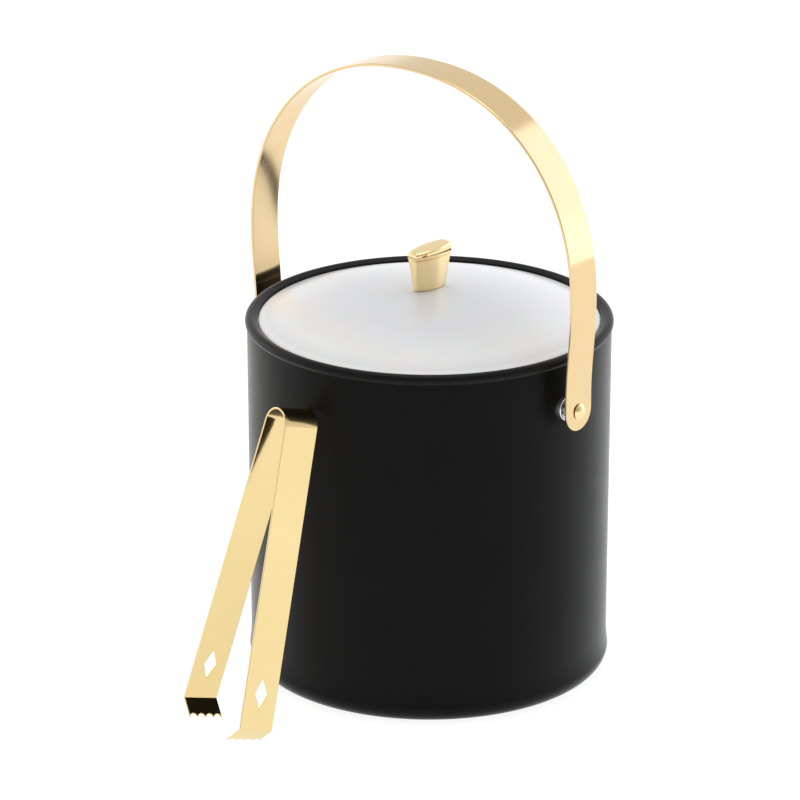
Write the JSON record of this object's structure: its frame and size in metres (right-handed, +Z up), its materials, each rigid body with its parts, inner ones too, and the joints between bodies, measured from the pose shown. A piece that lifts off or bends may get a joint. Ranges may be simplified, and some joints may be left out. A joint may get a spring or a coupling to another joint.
{
  "type": "ice bucket",
  "caption": "Insulated cylindrical ice bucket in black leatherette with a swinging strip handle, a domed lift-off lid with an oval knob, and folding-strip ice tongs.",
  "frame": {"origin": "centre of the bucket's base, on the table", "axes": "+Z up, +X parallel to the handle's pivot axis, -Y towards the leaning tongs"},
  "size_m": [0.2134, 0.2601, 0.3293],
  "materials": {
    "black_vinyl": "satin black leatherette",
    "black_rim": "soft satin black",
    "shell_board": "rigid shell, hidden",
    "white_plastic": "white moulded plastic",
    "foam": "closed-cell insulation foam",
    "base_board": "black board",
    "base_felt": "black felt",
    "gold_polished": "polished gold plating",
    "gold_satin": "satin gold plating",
    "gold_tongs": "polished gold plating",
    "chrome": "polished",
    "zinc_steel": "zinc plated",
    "lid_plastic": "translucent frosted white, glossy"
  },
  "bodies": {
    "bucket": {"vinyl_sleeve": "black_vinyl", "outer_shell": "shell_board", "top_rim": "black_rim", "bottom_rim": "black_rim", "liner": "white_plastic", "wall_insulation": "foam", "base_insulation": "foam", "base_plate": "base_board", "base_pad": "base_felt", "rivet_left": "gold_polished", "rivet_right": "gold_polished", "spacer_left": "chrome", "spacer_right": "chrome", "backing_washer_left": "zinc_steel", "backing_washer_right": "zinc_steel"},
    "lid": {"lid_dome": "lid_plastic", "lid_locating_ring": "lid_plastic", "knob_stem": "gold_polished", "knob_cap": "gold_polished", "knob_washer": "zinc_steel", "knob_screw": "zinc_steel"},
    "handle": {"handle_strip": "gold_satin"},
    "tongs": {"tongs_bend": "gold_tongs"},
    "tongs_left": {"tongs_arm_left": "gold_tongs"},
    "tongs_right": {"tongs_arm_right": "gold_tongs"}
  },
  "joints": [
    {"name": "handle_swing", "type": "hinge", "parent": "bucket", "child": "handle", "pos_m": [0, -0.0075, 0.1642], "axis": [1, 0, 0], "range_deg": [-130, 95]},
    {"name": "lid_lift", "type": "slide", "parent": "bucket", "child": "lid", "axis": [0, 0, 1], "range_m": [0, 0.07]},
    {"name": "tongs_lift", "type": "slide", "parent": "bucket", "child": "tongs", "axis": [0, 0, 1], "range_m": [0, 0.2]},
    {"name": "tongs_squeeze_left", "type": "hinge", "parent": "tongs", "child": "tongs_left", "pos_m": [-0.0033, -0.1084, 0.1604], "axis": [-0.2628, -0.9286, 0.2622], "range_deg": [0, 5.6], "stiffness_Nm_per_rad": 3},
    {"name": "tongs_squeeze_right", "type": "hinge", "parent": "tongs", "child": "tongs_right", "pos_m": [-0.0033, -0.1084, 0.1604], "axis": [0.2628, 0.9286, -0.2622], "range_deg": [0, 5.6], "stiffness_Nm_per_rad": 3}
  ],
  "couplings": [
    {"joint": "tongs_squeeze_right", "follows": "tongs_squeeze_left", "ratio": 1}
  ]
}
